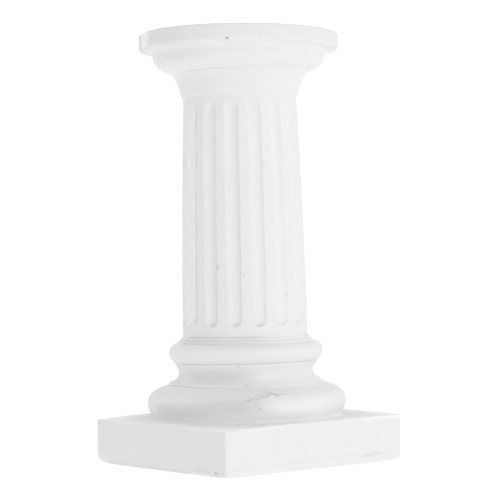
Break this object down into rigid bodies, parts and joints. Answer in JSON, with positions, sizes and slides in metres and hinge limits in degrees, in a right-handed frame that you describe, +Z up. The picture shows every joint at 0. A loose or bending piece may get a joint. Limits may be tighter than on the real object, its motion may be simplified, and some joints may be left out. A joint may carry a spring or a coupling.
{
  "type": "miniature roman column",
  "caption": "Small roman column cast in white plaster: square plinth, rounded base mouldings, tapering fluted shaft and a plain capital with a round abacus.",
  "frame": {"origin": "middle of the plinth's underside, on the surface that the column stands on", "axes": "+Z up along the shaft, X and Y along the sides of the square plinth, -Y the side of the plinth that shows best and +X to its right"},
  "size_m": [0.07, 0.07, 0.1374],
  "materials": {
    "plaster": "matte"
  },
  "bodies": {
    "root": {"plaster_column": "plaster"}
  },
  "joints": []
}
